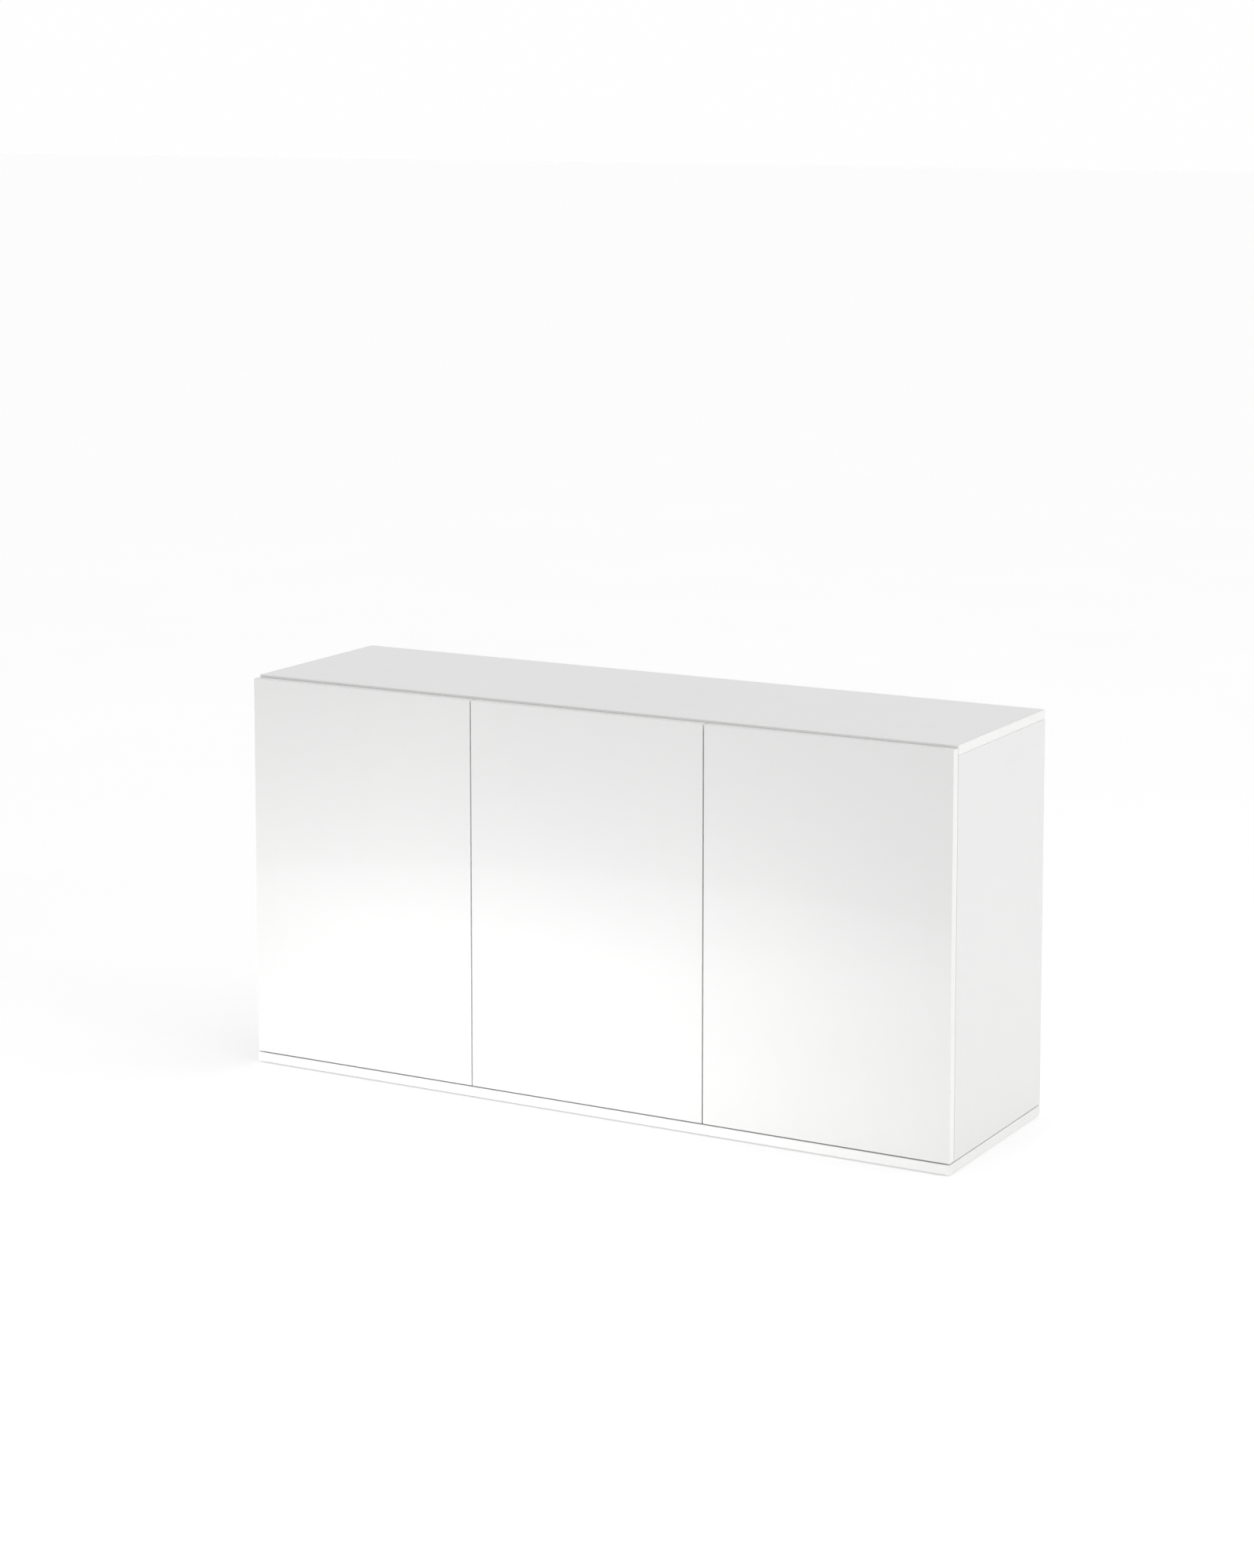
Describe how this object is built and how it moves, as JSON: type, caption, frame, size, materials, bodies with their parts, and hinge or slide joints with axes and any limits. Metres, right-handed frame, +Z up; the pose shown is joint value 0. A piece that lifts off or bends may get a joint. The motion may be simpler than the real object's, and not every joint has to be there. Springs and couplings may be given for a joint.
{
  "type": "aquarium stand cabinet",
  "caption": "Low white three-door aquarium stand cabinet with concealed hinges, push-to-open latches, shelves and hose cut-outs.",
  "frame": {"origin": "centre of the footprint on the floor, under the glides", "axes": "+Z up, +X to the right along the front, doors facing -Y"},
  "size_m": [1.5, 0.422, 0.78],
  "materials": {
    "white_lacquer": "smooth white lacquer, glossy",
    "back_board": "thin white board, satin",
    "nickel_plated_steel": "nickel plated stamped steel",
    "latch_plastic": "moulded grey plastic",
    "plunger_plastic": "moulded grey plastic",
    "grommet_plastic": "moulded grey plastic",
    "glide_plastic": "black felt-like plastic"
  },
  "bodies": {
    "cabinet": {"back_panel_left": "back_board", "back_panel_middle": "back_board", "back_panel_right": "back_board", "bottom_panel": "white_lacquer", "divider_left": "white_lacquer", "divider_right": "white_lacquer", "glide_front_1": "glide_plastic", "glide_front_2": "glide_plastic", "glide_front_3": "glide_plastic", "glide_front_4": "glide_plastic", "glide_rear_1": "glide_plastic", "glide_rear_2": "glide_plastic", "glide_rear_3": "glide_plastic", "glide_rear_4": "glide_plastic", "grommet_left_1": "grommet_plastic", "grommet_middle_1": "grommet_plastic", "grommet_middle_2": "grommet_plastic", "grommet_right_1": "grommet_plastic", "hinge_arm_left_lower": "nickel_plated_steel", "hinge_arm_left_upper": "nickel_plated_steel", "hinge_arm_middle_lower": "nickel_plated_steel", "hinge_arm_middle_upper": "nickel_plated_steel", "hinge_arm_right_lower": "nickel_plated_steel", "hinge_arm_right_upper": "nickel_plated_steel", "latch_housing_left": "latch_plastic", "latch_housing_middle": "latch_plastic", "latch_housing_right": "latch_plastic", "shelf_left": "white_lacquer", "shelf_right": "white_lacquer", "side_panel_left": "white_lacquer", "side_panel_right": "white_lacquer", "top_panel": "white_lacquer"},
    "door_left": {"door_left": "white_lacquer", "hinge_cup_left_lower": "nickel_plated_steel", "hinge_cup_left_upper": "nickel_plated_steel"},
    "outer_links_left": {"hinge_outer_link_left_lower": "nickel_plated_steel", "hinge_outer_link_left_upper": "nickel_plated_steel"},
    "inner_links_left": {"hinge_inner_link_left_lower": "nickel_plated_steel", "hinge_inner_link_left_upper": "nickel_plated_steel"},
    "plunger_left": {"latch_plunger_left": "plunger_plastic"},
    "door_middle": {"door_middle": "white_lacquer", "hinge_cup_middle_lower": "nickel_plated_steel", "hinge_cup_middle_upper": "nickel_plated_steel"},
    "outer_links_middle": {"hinge_outer_link_middle_lower": "nickel_plated_steel", "hinge_outer_link_middle_upper": "nickel_plated_steel"},
    "inner_links_middle": {"hinge_inner_link_middle_lower": "nickel_plated_steel", "hinge_inner_link_middle_upper": "nickel_plated_steel"},
    "plunger_middle": {"latch_plunger_middle": "plunger_plastic"},
    "door_right": {"door_right": "white_lacquer", "hinge_cup_right_lower": "nickel_plated_steel", "hinge_cup_right_upper": "nickel_plated_steel"},
    "outer_links_right": {"hinge_outer_link_right_lower": "nickel_plated_steel", "hinge_outer_link_right_upper": "nickel_plated_steel"},
    "inner_links_right": {"hinge_inner_link_right_lower": "nickel_plated_steel", "hinge_inner_link_right_upper": "nickel_plated_steel"},
    "plunger_right": {"latch_plunger_right": "plunger_plastic"}
  },
  "joints": [
    {"name": "outer_links_left_swing", "type": "hinge", "parent": "cabinet", "child": "outer_links_left", "pos_m": [-0.714, -0.179, 0.4], "axis": [0, 0, -1], "range_deg": [-42, 0]},
    {"name": "door_left_swing", "type": "hinge", "parent": "outer_links_left", "child": "door_left", "pos_m": [-0.7369, -0.197, 0.4], "axis": [0, 0, -1], "range_deg": [0, 136.8]},
    {"name": "inner_links_left_swing", "type": "hinge", "parent": "cabinet", "child": "inner_links_left", "pos_m": [-0.7, -0.188, 0.4], "axis": [0, 0, -1], "range_deg": [-42.69, 0]},
    {"name": "plunger_left_slide", "type": "slide", "parent": "cabinet", "child": "plunger_left", "axis": [0, -1, 0], "range_m": [0, 0.0202]},
    {"name": "outer_links_middle_swing", "type": "hinge", "parent": "cabinet", "child": "outer_links_middle", "pos_m": [-0.213, -0.179, 0.4], "axis": [0, 0, -1], "range_deg": [-42, 0]},
    {"name": "door_middle_swing", "type": "hinge", "parent": "outer_links_middle", "child": "door_middle", "pos_m": [-0.2359, -0.197, 0.4], "axis": [0, 0, -1], "range_deg": [0, 136.8]},
    {"name": "inner_links_middle_swing", "type": "hinge", "parent": "cabinet", "child": "inner_links_middle", "pos_m": [-0.199, -0.188, 0.4], "axis": [0, 0, -1], "range_deg": [-42.69, 0]},
    {"name": "plunger_middle_slide", "type": "slide", "parent": "cabinet", "child": "plunger_middle", "axis": [0, -1, 0], "range_m": [0, 0.0202]},
    {"name": "outer_links_right_swing", "type": "hinge", "parent": "cabinet", "child": "outer_links_right", "pos_m": [0.714, -0.179, 0.4], "axis": [0, 0, 1], "range_deg": [-42, 0]},
    {"name": "door_right_swing", "type": "hinge", "parent": "outer_links_right", "child": "door_right", "pos_m": [0.7369, -0.197, 0.4], "axis": [0, 0, 1], "range_deg": [0, 136.8]},
    {"name": "inner_links_right_swing", "type": "hinge", "parent": "cabinet", "child": "inner_links_right", "pos_m": [0.7, -0.188, 0.4], "axis": [0, 0, 1], "range_deg": [-42.69, 0]},
    {"name": "plunger_right_slide", "type": "slide", "parent": "cabinet", "child": "plunger_right", "axis": [0, -1, 0], "range_m": [0, 0.0202]}
  ],
  "couplings": [
    {"joint": "outer_links_left_swing", "follows": "door_left_swing", "ratio": -0.30556},
    {"joint": "inner_links_left_swing", "follows": "door_left_swing", "ratio": -0.31062},
    {"joint": "plunger_left_slide", "follows": "door_left_swing", "m_per_rad": 0.00838},
    {"joint": "outer_links_middle_swing", "follows": "door_middle_swing", "ratio": -0.30556},
    {"joint": "inner_links_middle_swing", "follows": "door_middle_swing", "ratio": -0.31062},
    {"joint": "plunger_middle_slide", "follows": "door_middle_swing", "m_per_rad": 0.00838},
    {"joint": "outer_links_right_swing", "follows": "door_right_swing", "ratio": -0.30556},
    {"joint": "inner_links_right_swing", "follows": "door_right_swing", "ratio": -0.31062},
    {"joint": "plunger_right_slide", "follows": "door_right_swing", "m_per_rad": 0.00838}
  ]
}
